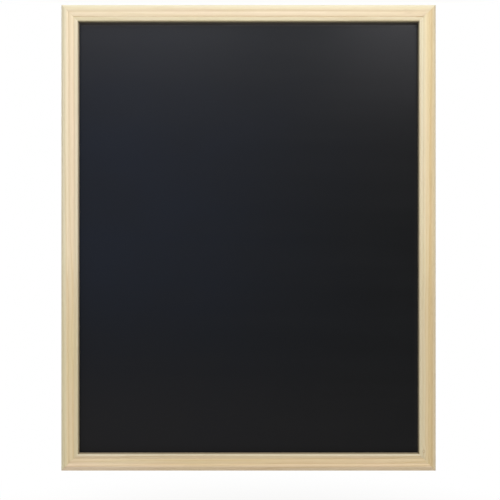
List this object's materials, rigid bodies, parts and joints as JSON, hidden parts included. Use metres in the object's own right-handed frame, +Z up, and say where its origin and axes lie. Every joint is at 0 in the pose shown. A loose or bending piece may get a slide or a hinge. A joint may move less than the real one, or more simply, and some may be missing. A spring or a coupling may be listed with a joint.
{
  "type": "wall chalkboard",
  "caption": "Upright wall chalkboard: a matt black writing panel in a mitred pale pine moulding, hung by folding D rings on the back of its stiles.",
  "frame": {"origin": "middle of the top rail's flat back face, in the plane that faces the wall", "axes": "+X to the right as seen from the front, +Y out of the back towards the wall, +Z up; the writing face looks along -Y"},
  "size_m": [0.402, 0.019, 0.5001],
  "materials": {
    "pine": "satin",
    "chalk_black": "matte",
    "hardboard": "matte",
    "bright_steel": "satin",
    "nickel_plate": "satin",
    "zinc_plate": "satin"
  },
  "bodies": {
    "board": {"top_rail": "pine", "right_stile": "pine", "bottom_rail": "pine", "left_stile": "pine", "writing_sheet": "chalk_black", "hardboard_back": "hardboard", "v_nail_top_left_outer": "bright_steel", "v_nail_top_left_inner": "bright_steel", "v_nail_top_right_outer": "bright_steel", "v_nail_top_right_inner": "bright_steel", "v_nail_bottom_right_outer": "bright_steel", "v_nail_bottom_right_inner": "bright_steel", "v_nail_bottom_left_outer": "bright_steel", "v_nail_bottom_left_inner": "bright_steel", "panel_point_top_1": "bright_steel", "panel_point_top_2": "bright_steel", "panel_point_top_3": "bright_steel", "panel_point_right_1": "bright_steel", "panel_point_right_2": "bright_steel", "panel_point_right_3": "bright_steel", "panel_point_right_4": "bright_steel", "panel_point_bottom_1": "bright_steel", "panel_point_bottom_2": "bright_steel", "panel_point_bottom_3": "bright_steel", "panel_point_left_1": "bright_steel", "panel_point_left_2": "bright_steel", "panel_point_left_3": "bright_steel", "panel_point_left_4": "bright_steel", "hanger_strap_left": "nickel_plate", "hanger_strap_right": "nickel_plate", "hanger_screw_left": "zinc_plate", "hanger_screw_right": "zinc_plate"},
    "left_ring": {"hanger_ring_left": "nickel_plate"},
    "right_ring": {"hanger_ring_right": "nickel_plate"}
  },
  "joints": [
    {"name": "left_ring_swing", "type": "hinge", "parent": "board", "child": "left_ring", "pos_m": [-0.19475, 0.0024, -0.1208], "axis": [-1, 0, 0], "range_deg": [0, 167]},
    {"name": "right_ring_swing", "type": "hinge", "parent": "board", "child": "right_ring", "pos_m": [0.19475, 0.0024, -0.1208], "axis": [-1, 0, 0], "range_deg": [0, 167]}
  ]
}
